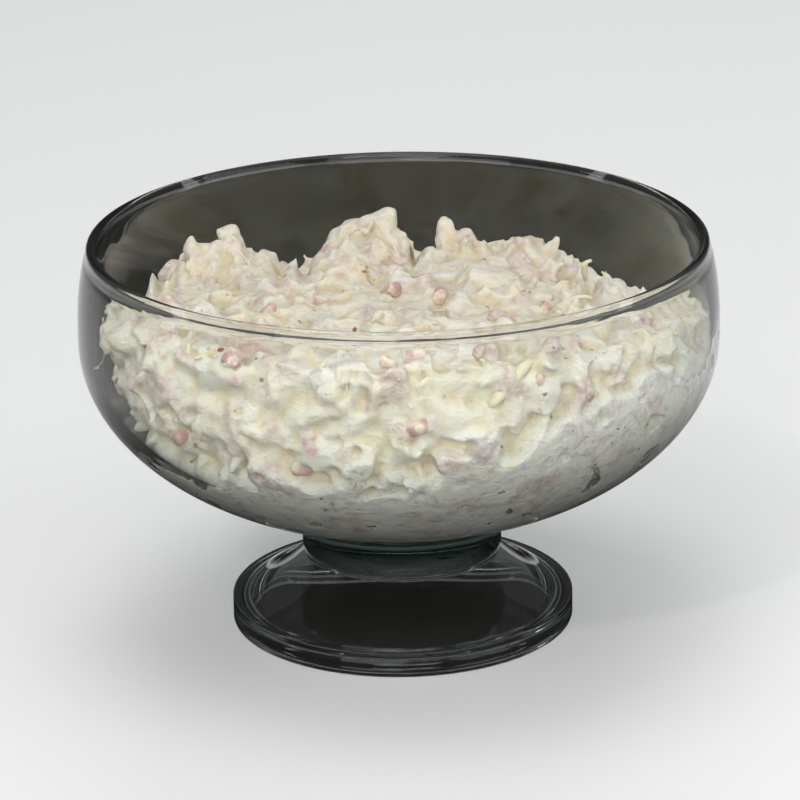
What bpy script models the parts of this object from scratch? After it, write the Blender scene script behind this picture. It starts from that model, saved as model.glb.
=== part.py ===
"""Ham salad heaped in a clear glass bowl on a pressed foot.

Metres, +Z up. The origin is the middle of the foot's underside, and the glass stands on z = 0.
The bowl and its foot are one piece of glass. The salad is one heap: a core that fills the bowl,
with the diced ham, the shreds and the dollops that show on it fused on.
"""

import math
import random

import bmesh
import bpy
from mathutils import Matrix, Vector, noise

MM = 0.001

# Bowl: an ellipse below its widest ring, drawn in a little to the lip above it
WIDEST_RADIUS = 115.1 * MM
WIDEST_Z = 109.3 * MM
BOWL_DEPTH = 69.0 * MM
LIP_RADIUS = 111.0 * MM
LIP_CENTRE_Z = 143.1 * MM
DRAW_IN_POWER = 2.5
WALL = 3.4 * MM
FLOOR_WALL = 5.5 * MM

# Foot: a short button under the bowl, a trumpet, a disc with an upright edge, and a hollow below
BUTTON_RADIUS = 36.3 * MM
BUTTON_Z = 28.0 * MM
TRUMPET_TOP_RADIUS = 34.6 * MM
TRUMPET_TOP_Z = 27.0 * MM
TRUMPET_POWER = 1.7
DISC_RADIUS = 62.3 * MM
DISC_EDGE = 10.0 * MM
EDGE_ROUND = 1.2 * MM
STAND_INNER_RADIUS = 56.0 * MM
HOLLOW_EDGE_Z = 4.5 * MM
HOLLOW_TOP_RADIUS = 22.0 * MM
HOLLOW_TOP_Z = 28.5 * MM
HOLLOW_POWER = 1.05

# Salad: where its edge meets the glass, its crown, and how far it keeps off the glass
GAP = 0.4 * MM
EDGE_Z = 117.0 * MM
EDGE_FALL_TO_BACK = 12.0 * MM
EDGE_RISE_AT_SIDES = 4.0 * MM
# Dips of the edge: direction in degrees from +X towards +Y, depth in mm, and spread in degrees
EDGE_DIPS = [(25, 9.0, 22), (167, 4.0, 12)]
CROWN_Z = 129.0 * MM
SET_BACK = 5.0 * MM
SET_BACK_TO_LEFT = 2.0 * MM
PRESSED_BELOW_Z = 82.0 * MM
PRESSED_RISE_TO_RIGHT = 20.0 * MM
RELIEF = 5.0 * MM
RELIEF_SCALE = 13.0 * MM

# Mounds and hollows of the heap: x, y, height over the crown's curve, and spread, in millimetres
MOUNDS = [
    (-74, 25, 12, 7),
    (-60, 35, 12, 8),
    (-47, 36, 5, 7),
    (-38, 38, -3, 6),
    (-18, 37, 12, 9),
    (-4, 36, 11, 7),
    (9, 36, -3, 5),
    (17, 34, 11, 5),
    (28, 37, 8, 7),
    (44, 36, 11, 8),
    (57, 33, 8, 7),
    (69, 27, -8, 7),
    (76, 13, 3, 6),
    (90, 6, -2, 7),
    (-30, -28, 4, 14),
    (34, -20, 4, 14),
    (-72, -22, 4, 12),
    (70, -32, 3, 12),
    (4, -64, 3, 14),
    (2, 4, 2, 11),
    (-14, 72, 5, 11),
    (38, 76, 4, 10),
    (-58, 68, 3, 10),
    (80, 48, -8, 14),
    (-36, 72, -11, 15),
    (8, 76, -9, 13),
    (-45, 48, -6, 8),
    (41, 42, -7, 7),
    (23, 40, -6, 5),
    (-14, 36, -2.5, 6),
    (52, 79, -3, 10),
    (-96, 24, -5, 10),
]

# Pieces that show, at true size
PIECE_SEED = 27
DOLLOPS = 80
DOLLOP_RADIUS = (4.5 * MM, 8.5 * MM)
DICE = 64
DIE_SIDES = (4.5 * MM, 9.0 * MM)
SHREDS = 58
SHRED_LENGTH = (10.0 * MM, 19.0 * MM)
SHRED_WIDTH = (2.4 * MM, 3.8 * MM)
SHRED_SIDES = 4
SHRED_STEPS = 2
SIDE_SHARE = 0.3

# Facets
GLASS_SEGMENTS = 48
WALL_STEPS = 9
DRAW_IN_STEPS = 4
LIP_STEPS = 5
TRUMPET_STEPS = 6
HOLLOW_STEPS = 5
CORE_SEGMENTS = 44
CORE_RINGS = 28
MERGE_DISTANCE = 0.005 * MM


def clear_scene():
    for obj in list(bpy.data.objects):
        bpy.data.objects.remove(obj)


def material(name, colour, roughness, transmission=0.0):
    made = bpy.data.materials.new(name)
    made.use_nodes = True
    shader = made.node_tree.nodes["Principled BSDF"]
    shader.inputs["Base Color"].default_value = (*colour, 1.0)
    shader.inputs["Roughness"].default_value = roughness
    shader.inputs["Metallic"].default_value = 0.0
    shader.inputs["Transmission Weight"].default_value = transmission
    made.diffuse_color = (*colour, 1.0)
    return made


def object_from(name, bm, surface):
    """An object in the scene from a bmesh, with its material, shaded smooth but for real edges."""
    mesh = bpy.data.meshes.new(name)
    bm.to_mesh(mesh)
    bm.free()
    mesh.shade_smooth()
    mesh.set_sharp_from_angle(angle=math.radians(35))
    mesh.materials.append(surface)
    obj = bpy.data.objects.new(name, mesh)
    bpy.context.scene.collection.objects.link(obj)
    return obj


def bowl_curve(radius, depth, lip_radius):
    """Half a bowl wall from its lowest point to just below the lip, as (radius, z) pairs."""
    points = []
    for step in range(WALL_STEPS + 1):
        turn = math.pi / 2 * step / WALL_STEPS
        points.append((radius * math.sin(turn), WIDEST_Z - depth * math.cos(turn)))
    for step in range(1, DRAW_IN_STEPS + 1):
        share = step / DRAW_IN_STEPS
        drawn_in = (radius - lip_radius) * share**DRAW_IN_POWER
        points.append((radius - drawn_in, WIDEST_Z + (LIP_CENTRE_Z - WIDEST_Z) * share))
    return points


def inner_curve():
    return bowl_curve(WIDEST_RADIUS - WALL, BOWL_DEPTH - FLOOR_WALL, LIP_RADIUS - WALL)


def outer_curve():
    """The outer wall, from the lip down to where the button joins it."""
    curve = bowl_curve(WIDEST_RADIUS, BOWL_DEPTH, LIP_RADIUS)[::-1]
    joint_z = WIDEST_Z - BOWL_DEPTH * math.sqrt(1 - (BUTTON_RADIUS / WIDEST_RADIUS) ** 2)
    return [point for point in curve if point[0] > BUTTON_RADIUS + MM] + [(BUTTON_RADIUS, joint_z)]


def lip_curve():
    """The round lip, over from the inner wall to the outer one."""
    round_radius = WALL / 2
    middle = LIP_RADIUS - round_radius
    turns = [math.pi * (1 - step / LIP_STEPS) for step in range(1, LIP_STEPS)]
    return [
        (middle + round_radius * math.cos(turn), LIP_CENTRE_Z + round_radius * math.sin(turn))
        for turn in turns
    ]


def foot_curve():
    """Button, trumpet, disc edge, the ring that it stands on and the hollow, down to the axis."""
    points = [(BUTTON_RADIUS, BUTTON_Z + EDGE_ROUND), (BUTTON_RADIUS - EDGE_ROUND, BUTTON_Z)]
    spread = DISC_RADIUS - EDGE_ROUND - TRUMPET_TOP_RADIUS
    drop = TRUMPET_TOP_Z - DISC_EDGE
    for step in range(TRUMPET_STEPS + 1):
        share = step / TRUMPET_STEPS
        fall = drop * (1 - share) ** TRUMPET_POWER
        points.append((TRUMPET_TOP_RADIUS + spread * share, DISC_EDGE + fall))
    points += [
        (DISC_RADIUS, DISC_EDGE - EDGE_ROUND),
        (DISC_RADIUS, EDGE_ROUND),
        (DISC_RADIUS - EDGE_ROUND, 0.0),
        (STAND_INNER_RADIUS, 0.0),
    ]
    narrowing = STAND_INNER_RADIUS - HOLLOW_TOP_RADIUS
    for step in range(HOLLOW_STEPS + 1):
        share = step / HOLLOW_STEPS
        rise = (HOLLOW_TOP_Z - HOLLOW_EDGE_Z) * share**HOLLOW_POWER
        points.append((STAND_INNER_RADIUS - narrowing * share, HOLLOW_EDGE_Z + rise))
    points.append((0.0, HOLLOW_TOP_Z))
    return points


def turned(profile, segments):
    """A bmesh of the profile's (radius, z) points turned once round the Z axis."""
    bm = bmesh.new()
    verts = [bm.verts.new((radius, 0.0, z)) for radius, z in profile]
    edges = [bm.edges.new(pair) for pair in zip(verts, verts[1:])]
    bmesh.ops.spin(
        bm,
        geom=verts + edges,
        cent=(0, 0, 0),
        axis=(0, 0, 1),
        angle=2 * math.pi,
        steps=segments,
        use_merge=True,
    )
    bmesh.ops.remove_doubles(bm, verts=bm.verts, dist=MERGE_DISTANCE)
    bmesh.ops.recalc_face_normals(bm, faces=bm.faces)
    return bm


def build_glass():
    glass = material("clear_glass", (0.80, 0.84, 0.84), 0.03, transmission=1.0)
    profile = inner_curve() + lip_curve() + outer_curve() + foot_curve()
    return object_from("glass_bowl", turned(profile, GLASS_SEGMENTS), glass)


def salad_limit():
    """The bowl's inner curve, inset by the gap that the salad keeps to the glass."""
    inset = WALL + GAP
    return bowl_curve(WIDEST_RADIUS - inset, BOWL_DEPTH - FLOOR_WALL - GAP, LIP_RADIUS - inset)


def limit_radius(z, limit):
    """How far out the salad may reach at height z, where the glass's flats come nearest."""
    flat = math.cos(math.pi / GLASS_SEGMENTS)
    for (r_low, z_low), (r_high, z_high) in zip(limit, limit[1:]):
        if z_low <= z <= z_high:
            return flat * (r_low + (r_high - r_low) * (z - z_low) / (z_high - z_low))
    return 0.0 if z < limit[0][1] else flat * limit[-1][0]


def rolling(x, y, z, scale, seed):
    """Smooth noise between about -1 and 1."""
    return noise.noise(Vector((x / scale + seed, y / scale - seed, z / scale)))


def heap_edge(x, y):
    """Height at which the heap meets the glass, in the direction of (x, y)."""
    reach = max(math.hypot(x, y), MM)
    across, back = x / reach, y / reach
    turn = math.degrees(math.atan2(back, across))
    dips = 0.0
    for at_turn, depth, spread in EDGE_DIPS:
        off = (turn - at_turn + 180) % 360 - 180
        dips += depth * MM * math.exp(-(off**2) / (2 * spread**2))
    return EDGE_Z - EDGE_FALL_TO_BACK * back + EDGE_RISE_AT_SIDES * across**2 - dips


def heap_height(x, y):
    """Height of the heap's top at (x, y): a low crown, its mounds and a rolling relief."""
    share = min(math.hypot(x, y) / LIP_RADIUS, 1.0)
    edge = heap_edge(x, y)
    mounds = sum(
        rise * MM * math.exp(-((x / MM - at_x) ** 2 + (y / MM - at_y) ** 2) / (2 * spread**2))
        for at_x, at_y, rise, spread in MOUNDS
    )
    relief = RELIEF * rolling(x, y, 0.0, RELIEF_SCALE, 3.7)
    return edge + (CROWN_Z - edge) * (1 - share**2) + (mounds + relief) * (1 - share**6)


def core_radius(across, back, z, limit):
    """Radius of the core's side: on the glass where it is pressed there, behind it near the top."""
    limit_here = limit_radius(z, limit)
    x, y = across * limit_here, back * limit_here
    pressed_to = PRESSED_BELOW_Z + PRESSED_RISE_TO_RIGHT * across
    share = min(max((z - pressed_to) / (EDGE_Z - PRESSED_BELOW_Z), 0.0), 1.0) ** 0.5
    uneven = 0.7 + 0.6 * rolling(x, y, z, RELIEF_SCALE, 1.3)
    return limit_here - share * uneven * (SET_BACK - SET_BACK_TO_LEFT * across)


def build_core(limit):
    """The heap without its loose pieces: a ball whose lower half takes the bowl's form."""
    bm = bmesh.new()
    bmesh.ops.create_uvsphere(bm, u_segments=CORE_SEGMENTS, v_segments=CORE_RINGS, radius=1.0)
    floor_z = limit[0][1]
    for vert in bm.verts:
        unit = vert.co.copy()
        reach = math.hypot(unit.x, unit.y)
        if reach < 1e-6:
            vert.co = Vector((0, 0, floor_z if unit.z < 0 else heap_height(0, 0)))
            continue
        across, back = unit.x / reach, unit.y / reach
        edge_z = heap_edge(across, back)
        if unit.z < 0:
            z = floor_z + (edge_z - floor_z) * (1 + unit.z)
            radius = core_radius(across, back, z, limit)
        else:
            turn = math.asin(min(reach, 1.0)) / (math.pi / 2)
            radius = turn * core_radius(across, back, edge_z, limit)
            z = heap_height(across * radius, back * radius)
        vert.co = Vector((across * radius, back * radius, z))
    return bm


def bent_shred(length, width, bend):
    """A tapered strip of few sides, bent in an arc, lying along X about the origin."""
    bm = bmesh.new()
    ring = bmesh.ops.create_circle(bm, segments=SHRED_SIDES, radius=width / 2, cap_ends=True)
    ring = ring["verts"]
    bmesh.ops.rotate(bm, verts=ring, matrix=Matrix.Rotation(math.pi / 2, 3, "Y"))
    bmesh.ops.translate(bm, verts=ring, vec=(-length / 2, 0, 0))
    face = bm.faces[:][0]
    for step in range(SHRED_STEPS):
        grown = bmesh.ops.extrude_face_region(bm, geom=[face])["geom"]
        verts = [item for item in grown if isinstance(item, bmesh.types.BMVert)]
        if step:
            bmesh.ops.delete(bm, geom=[face], context="FACES_ONLY")
        face = next(item for item in grown if isinstance(item, bmesh.types.BMFace))
        bmesh.ops.translate(bm, verts=verts, vec=(length / SHRED_STEPS, 0, 0))
    for vert in bm.verts:
        share = 2 * vert.co.x / length
        slim = 1 - 0.35 * share**2
        vert.co.y *= slim
        vert.co.z = 0.7 * vert.co.z * slim - bend * share**2
    bmesh.ops.recalc_face_normals(bm, faces=bm.faces)
    return bm


def ham_die(draw):
    """A small block of ham, its three sides drawn apart."""
    bm = bmesh.new()
    bmesh.ops.create_cube(bm, size=1.0)
    bmesh.ops.scale(bm, verts=bm.verts, vec=[draw.uniform(*DIE_SIDES) for _ in range(3)])
    return bm


def dollop(draw):
    """A lump of dressing, a ball of few sides pushed out of round."""
    bm = bmesh.new()
    bmesh.ops.create_icosphere(bm, subdivisions=1, radius=draw.uniform(*DOLLOP_RADIUS))
    for vert in bm.verts:
        vert.co *= draw.uniform(0.8, 1.15)
    bmesh.ops.scale(bm, verts=bm.verts, vec=(1.0, draw.uniform(0.7, 1.0), draw.uniform(0.55, 0.8)))
    return bm


def surface_spot(draw, limit):
    """A place on the core and the direction out of it: on top, or on the side near the glass."""
    turn = draw.uniform(0, 2 * math.pi)
    across, back = math.cos(turn), math.sin(turn)
    edge_z = heap_edge(across, back)
    if draw.random() < SIDE_SHARE:
        z = draw.uniform(PRESSED_BELOW_Z, edge_z)
        radius = core_radius(across, back, z, limit)
        return Vector((across * radius, back * radius, z)), Vector((across, back, 0.0))
    radius = core_radius(across, back, edge_z, limit) * math.sqrt(draw.random())
    x, y = across * radius, back * radius
    step = 2 * MM
    slope_x = (heap_height(x + step, y) - heap_height(x - step, y)) / (2 * step)
    slope_y = (heap_height(x, y + step) - heap_height(x, y - step)) / (2 * step)
    return Vector((x, y, heap_height(x, y))), Vector((-slope_x, -slope_y, 1.0)).normalized()


def place_piece(bm, spot, outward, limit, draw):
    """Turns the piece about the way out, tips it, and moves it in until it is clear of the glass."""
    spin = Matrix.Rotation(draw.uniform(0, 2 * math.pi), 3, "Z")
    tip = Matrix.Rotation(draw.gauss(0, 0.4), 3, "Y")
    frame = outward.to_track_quat("Z", "Y").to_matrix()
    bmesh.ops.transform(bm, matrix=(frame @ tip @ spin).to_4x4(), verts=bm.verts)
    bmesh.ops.translate(bm, verts=bm.verts, vec=spot)
    inward = -Vector((spot.x, spot.y, 0.0)).normalized()
    past = max(math.hypot(vert.co.x, vert.co.y) - limit_radius(vert.co.z, limit) for vert in bm.verts)
    if past > 0:
        bmesh.ops.translate(bm, verts=bm.verts, vec=inward * (past + GAP))


def scatter(count, make, draw, limit, surface, collection):
    """Puts this many pieces on the core, all clear of the glass."""
    for _ in range(count):
        bm = make(draw)
        spot, outward = surface_spot(draw, limit)
        place_piece(bm, spot, outward, limit, draw)
        piece = object_from("loose_piece", bm, surface)
        bpy.context.scene.collection.objects.unlink(piece)
        collection.objects.link(piece)


def make_shred(draw):
    length = draw.uniform(*SHRED_LENGTH)
    return bent_shred(length, draw.uniform(*SHRED_WIDTH), draw.uniform(0.05, 0.22) * length)


def build_salad():
    salad = material("dressed_salad", (0.86, 0.79, 0.64), 0.45)
    limit = salad_limit()
    core = object_from("ham_salad", build_core(limit), salad)
    pieces = bpy.data.collections.new("salad_pieces")
    bpy.context.scene.collection.children.link(pieces)
    draw = random.Random(PIECE_SEED)
    for count, make in ((DOLLOPS, dollop), (DICE, ham_die), (SHREDS, make_shred)):
        scatter(count, make, draw, limit, salad, pieces)
    fuse(core, pieces)


def fuse(core, pieces):
    """Joins the collection's pieces to the core, then removes them and any scrap left loose."""
    join = core.modifiers.new("join_pieces", "BOOLEAN")
    join.operation = "UNION"
    join.operand_type = "COLLECTION"
    join.collection = pieces
    graph = bpy.context.evaluated_depsgraph_get()
    joined = bpy.data.meshes.new_from_object(core.evaluated_get(graph))
    core.modifiers.clear()
    core.data = joined
    for piece in list(pieces.objects):
        bpy.data.objects.remove(piece)
    bpy.data.collections.remove(pieces)
    keep_largest_body(core.data)


def keep_largest_body(mesh):
    """Drops loose scraps and sealed hollows, which are every shell but the largest."""
    bm = bmesh.new()
    bm.from_mesh(mesh)
    bmesh.ops.remove_doubles(bm, verts=bm.verts, dist=MERGE_DISTANCE)
    shells = []
    waiting = set(bm.faces)
    while waiting:
        shell, edge_of_shell = set(), [waiting.pop()]
        while edge_of_shell:
            face = edge_of_shell.pop()
            shell.add(face)
            near = {other for edge in face.edges for other in edge.link_faces} & waiting
            waiting -= near
            edge_of_shell.extend(near)
        shells.append(shell)
    largest = max(shells, key=len)
    scraps = [face for shell in shells if shell is not largest for face in shell]
    bmesh.ops.delete(bm, geom=scraps, context="FACES")
    bm.to_mesh(mesh)
    bm.free()


clear_scene()
build_glass()
build_salad()
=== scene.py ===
"""The finished looks of a ham salad heaped in a clear glass bowl on a foot.

Metres, +Z up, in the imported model's frame. The glass is turned afresh from the bowl's own sizes.
The salad grows over its packed heap: lumps, shreds and ham are laid on a relaxed copy of it and
take one skin of dressing, which is pressed flat where it meets the glass. Loose pieces lie on top.
"""

import math

import bmesh
import bpy
import numpy as np
from mathutils import Matrix, Vector, noise
from mathutils.bvhtree import BVHTree


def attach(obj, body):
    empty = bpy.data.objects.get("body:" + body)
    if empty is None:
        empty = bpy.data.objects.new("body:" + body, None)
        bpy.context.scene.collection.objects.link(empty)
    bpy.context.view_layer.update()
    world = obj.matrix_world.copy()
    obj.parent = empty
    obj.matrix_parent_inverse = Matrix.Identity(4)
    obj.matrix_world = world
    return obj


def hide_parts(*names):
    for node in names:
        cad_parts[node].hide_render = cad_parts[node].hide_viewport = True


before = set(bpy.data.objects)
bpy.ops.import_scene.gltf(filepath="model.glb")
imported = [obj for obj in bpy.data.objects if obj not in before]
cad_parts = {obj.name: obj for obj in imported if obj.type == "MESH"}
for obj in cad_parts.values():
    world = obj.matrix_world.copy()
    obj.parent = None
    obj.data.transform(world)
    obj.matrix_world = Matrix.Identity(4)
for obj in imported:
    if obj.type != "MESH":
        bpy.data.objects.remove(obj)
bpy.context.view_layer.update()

MM = 0.001

# The bowl's sizes, as its solid has them
WIDEST_RADIUS = 115.1 * MM
WIDEST_Z = 109.3 * MM
BOWL_DEPTH = 69.0 * MM
LIP_RADIUS = 111.0 * MM
LIP_CENTRE_Z = 143.1 * MM
DRAW_IN_POWER = 2.5
WALL = 3.4 * MM
FLOOR_WALL = 5.5 * MM
BUTTON_RADIUS = 36.3 * MM
BUTTON_Z = 28.0 * MM
TRUMPET_TOP_RADIUS = 34.6 * MM
TRUMPET_TOP_Z = 27.0 * MM
TRUMPET_POWER = 1.7
DISC_RADIUS = 62.3 * MM
DISC_EDGE = 10.0 * MM
EDGE_ROUND = 1.2 * MM
STAND_INNER_RADIUS = 56.0 * MM
HOLLOW_EDGE_Z = 4.5 * MM
HOLLOW_TOP_RADIUS = 22.0 * MM
HOLLOW_TOP_Z = 28.5 * MM
HOLLOW_POWER = 1.05
LIP_BEAD = 1.9 * MM
GLASS_SEGMENTS = 144
CURVE_STEPS = 24
ROUND_STEPS = 6
LIP_STEPS = 20
MERGE_DISTANCE = 0.005 * MM

INNER_RADIUS = WIDEST_RADIUS - WALL
INNER_DEPTH = BOWL_DEPTH - FLOOR_WALL
INNER_LIP_RADIUS = LIP_RADIUS - WALL

# The skin of dressing over the heap. Its folds have a size and a height each
CORE_VOXEL = 2.2 * MM
CORE_SET_IN = 2.0 * MM
LEFT_SET_IN = 2.4 * MM
SKIN_VOXEL = 0.95 * MM
SKIN_TRIANGLES = 196000
STANDS_OUT = 1.9 * MM
FOLDS = ((14 * MM, 1.5 * MM), (7 * MM, 0.9 * MM), (3.8 * MM, 0.4 * MM))

# Where the skin lies on the glass: below a line that rises to the right and waves up and down,
# each wave with its height, size and seed, and but for dips that leave air behind the glass
WALL_REACH = 0.15 * MM
NEAR_GLASS = 12 * MM
PRESSED_BELOW_Z = 82 * MM
PRESSED_RISE_TO_RIGHT = 22 * MM
WAVES = ((9 * MM, 22 * MM, 3.1), (6 * MM, 8 * MM, 4.7))
DIP_DEPTH = 3.5 * MM
DIP_SIZE = 9 * MM

# The camera, and the width of its square view in pixels
CAMERA_AT = (0.0, -1.3646, 0.56167)
CAMERA_PITCH = 19.35
CAMERA_ROLL = -0.854
CAMERA_LENS = 180.0
VIEW_SIZE = 800

# Looks of the loose morsels: two tones, the smear of dressing over them (low, high and amount in
# its clouds), and how fine their grain is
MORSEL_LOOKS = {
    "cooked_ham": ((0.62, 0.46, 0.40), (0.50, 0.27, 0.27), (0.40, 0.60, 0.9), 240),
    "pale_shred": ((0.82, 0.78, 0.60), (0.76, 0.66, 0.40), (0.42, 0.66, 1.0), 200),
    "chopped_herb": ((0.34, 0.35, 0.27), (0.20, 0.22, 0.16), (0.42, 0.62, 0.9), 500),
    "browned_bit": ((0.40, 0.20, 0.10), (0.24, 0.09, 0.05), (0.46, 0.66, 1.0), 300),
}

# Lamps: name, place, width, height, power and colour, all turned to the lit point
LIT_POINT = (0, 0, 0.1)
SOFT_LAMPS = (
    ("key", (-0.7, -1.5, 1.35), 1.5, 1.5, 12.5, (1.0, 0.99, 0.975)),
    ("front", (0.2, -2.0, 0.75), 1.6, 1.0, 7.0, (1.0, 0.99, 0.98)),
    ("low_front", (0.0, -1.8, 0.35), 1.4, 0.5, 6.0, (1.0, 0.99, 0.98)),
    ("fill", (1.3, -0.7, 0.9), 1.2, 1.2, 6.5, (0.97, 0.98, 1.0)),
    ("back", (0.2, 1.4, 1.5), 1.4, 1.0, 10.0, (0.96, 0.98, 1.0)),
)
MIRRORED_LAMPS = (
    ("overhead", (-0.1, 0.1, 1.9), 0.9, 0.9, 6.0, (0.98, 0.99, 1.0)),
    ("side_left", (-1.6, -0.1, 0.6), 0.2, 0.9, 1.6, (0.97, 0.99, 1.0)),
    ("side_right", (1.6, 0.0, 0.6), 0.2, 0.9, 1.6, (0.97, 0.99, 1.0)),
    ("spark", (-0.65, -1.3, 1.25), 0.06, 0.06, 3.0, (1.0, 1.0, 1.0)),
)

# The seed of everything that falls at random, so that each run gives the same salad
SALAD_SEED = 41

# Kinds of thing in the salad, as numbered in the arrays
CORE, LUMP, SHRED, HAM, PEAK = range(5)
KINDS = 5
# Things of one kind are numbered below this, and the ham of HAM_UNDER downwards from the second
MOST_OF_A_KIND = 4000
HAM_UNDER_NUMBER = 3990

# Peaks that the spoon pulled up: foot, tip, and the thickness at each
PEAKS = (
    ((18.6, 37, 127), (17.0, 37, 141.5), 5.4, 7.4),
    ((25.0, 37, 128), (24.5, 37, 136.2), 6.6, 6.0),
    ((-74, 25, 129), (-75.0, 25, 139.9), 8.5, 3.4),
    ((-61, 35, 127), (-62.8, 35, 138.8), 9.5, 8.0),
    ((-24, 37, 126), (-19, 37, 137.0), 13.0, 11.0),
    ((-13, 37, 129), (-9.5, 36, 142.6), 14.0, 8.0),
    ((-6, 36, 132), (-4.6, 36, 143.8), 12.0, 7.5),
    ((0, 36, 128), (1.0, 36, 136.5), 9.0, 6.5),
    ((44, 36, 124), (44.8, 36, 132.6), 9.0, 7.0),
    ((56, 33, 124), (57.5, 33, 134.0), 6.0, 5.0),
    ((66, 31, 118), (69.0, 30, 126.4), 7.5, 4.0),
    ((74, 13, 117), (75.2, 13, 127.6), 4.5, 2.0),
    ((83, 12, 114), (83, 12, 121.5), 6.5, 3.0),
    ((-82, 8, 117), (-83, 8, 127.5), 8.0, 4.0),
    ((-47, 36, 121), (-45.6, 37, 129.0), 7.0, 4.0),
    ((-14, 72, 120), (-13, 73, 126.5), 8.4, 4.5),
    ((38, 76, 112), (40, 75, 119.0), 8.2, 4.0),
    ((-58, 66, 112), (-56, 66, 120.5), 8.2, 4.0),
)
# The broad line of the heap against the bowl's back, in pixels of the camera's view
SKYLINE = (
    (100, 305), (112, 301), (126, 298), (140, 292), (150, 271), (162, 262), (177, 255), (184, 246),
    (205, 244), (215, 238), (240, 238), (257, 249), (272, 254), (277, 262), (290, 257), (308, 256),
    (317, 253), (326, 236), (338, 226), (362, 222), (372, 214), (386, 212), (395, 229), (408, 238),
    (412, 248), (422, 249), (436, 239), (455, 237), (470, 232), (480, 237), (494, 241), (515, 235),
    (545, 237), (562, 249), (580, 256), (585, 268), (588, 278), (600, 276), (618, 278), (632, 285),
    (650, 286), (665, 292), (680, 294), (700, 298), (708, 305),
)
COLUMN_STEP = 4.0
# Columns of the skyline that the back of the heap follows as one
BROAD_COLUMNS = 21
# A pixel's worth of height, at the heap's distance from the camera
A_PIXEL_UP = 0.4 * MM

# Places on the salad in the camera's view, in pixels from the view's top left corner.
# Hollows: place, depth and spread in mm
HOLLOWS = (
    (217, 299, 4.5, 2.6), (373, 279, 4.0, 1.8), (188, 335, 4.0, 2.2), (510, 312, 5.0, 2.2),
    (546, 309, 3.5, 2.2), (198, 440, 4.5, 2.2), (199, 458, 4.0, 1.5), (492, 482, 2.5, 2.0),
    (304, 324, 3.0, 2.2), (470, 400, 2.5, 2.5), (146, 389, 3.5, 2.4), (362, 402, 3.0, 2.2),
    (410, 372, 3.0, 1.5), (588, 345, 2.5, 2.2), (345, 352, 2.5, 2.0), (262, 262, 3.0, 2.0),
    (430, 470, 2.0, 2.4), (480, 300, 2.5, 2.0), (655, 330, 3.0, 2.4), (290, 455, 2.0, 2.2),
)
# Ham under the skin: place, then length, width and thickness in mm
HAM_UNDER = (
    (186, 245, 6, 4, 5), (262, 300, 9, 5, 4), (288, 288, 8, 4, 4), (338, 278, 9, 5, 4),
    (395, 262, 10, 5, 4), (385, 292, 8, 4, 4), (425, 285, 9, 6, 4), (440, 295, 8, 5, 4),
    (452, 322, 9, 4, 4), (535, 243, 8, 5, 4), (505, 275, 10, 4, 4), (606, 280, 5, 4, 6),
    (575, 325, 11, 6, 4), (645, 325, 8, 6, 4), (168, 345, 9, 4, 4), (135, 335, 8, 5, 4),
    (172, 395, 11, 5, 4), (150, 410, 13, 5, 4), (240, 380, 8, 4, 4), (312, 443, 9, 5, 4),
    (282, 470, 7, 5, 4), (375, 400, 8, 5, 4), (335, 508, 14, 6, 4), (445, 455, 11, 5, 4),
    (430, 345, 10, 5, 4), (480, 360, 8, 5, 4), (515, 385, 9, 5, 4), (580, 385, 9, 6, 4),
    (608, 372, 9, 5, 4), (640, 400, 13, 4, 4), (655, 420, 12, 4, 4), (530, 490, 10, 4, 4),
    (440, 502, 8, 4, 4), (413, 506, 9, 4, 4), (470, 455, 8, 5, 4), (690, 365, 9, 6, 4),
)
# Ham that shows plainly: place, sides in mm, and the share of deep red
HAM_SHOWING = (
    (254, 357, (19, 8, 5), 0.15), (236, 357, (7, 7, 5.5), 0.9), (414, 359, (8.5, 8, 5), 0.3),
    (416, 428, (5, 7.5, 5), 0.75), (181, 436, (5.5, 5, 5), 0.4), (440, 296, (4.5, 8, 4), 0.6),
    (545, 308, (3.5, 4.5, 4), 0.9), (479, 352, (5, 4, 4), 0.7), (596, 272, (3.5, 5, 4), 0.5),
    (645, 322, (5, 5.5, 4), 0.6), (394, 290, (7, 4, 4), 0.5), (268, 312, (2.5, 7, 3), 0.6),
)
BROWNED_AT = (
    (300, 322), (311, 321), (119, 379), (325, 490), (329, 497), (587, 460), (198, 444),
    (364, 272), (113, 398), (545, 313), (498, 484),
)
HERBS_AT = (
    (524, 415), (530, 416), (565, 426), (578, 432), (609, 424), (614, 422), (673, 413), (564, 461),
    (610, 463), (491, 436), (625, 441), (486, 503), (484, 507), (438, 373), (564, 358), (602, 353),
    (522, 341), (673, 386), (367, 267), (361, 265), (175, 280), (154, 431), (214, 389), (260, 335),
    (538, 408), (600, 436), (590, 470), (570, 500), (520, 470),
)


def smoothstep(low, high, value):
    """0 below low, 1 above high, and a smooth rise between, for numbers or arrays."""
    share = np.clip((value - low) / (high - low), 0.0, 1.0)
    return share * share * (3.0 - 2.0 * share)


def linked(name, mesh):
    obj = bpy.data.objects.new(name, mesh)
    bpy.context.scene.collection.objects.link(obj)
    return obj


def mesh_of(name, bm):
    mesh = bpy.data.meshes.new(name)
    bm.to_mesh(mesh)
    bm.free()
    return mesh


def dressed(name, mesh, surface, slot, *nodes):
    """A finished piece: shaded smooth, riding on the one body, and standing for these nodes."""
    mesh.name = name
    mesh.shade_smooth()
    mesh.materials.clear()
    mesh.materials.append(surface)
    piece = linked(name, mesh)
    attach(piece, "root")
    if nodes:
        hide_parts(*nodes)


# Glass

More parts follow.
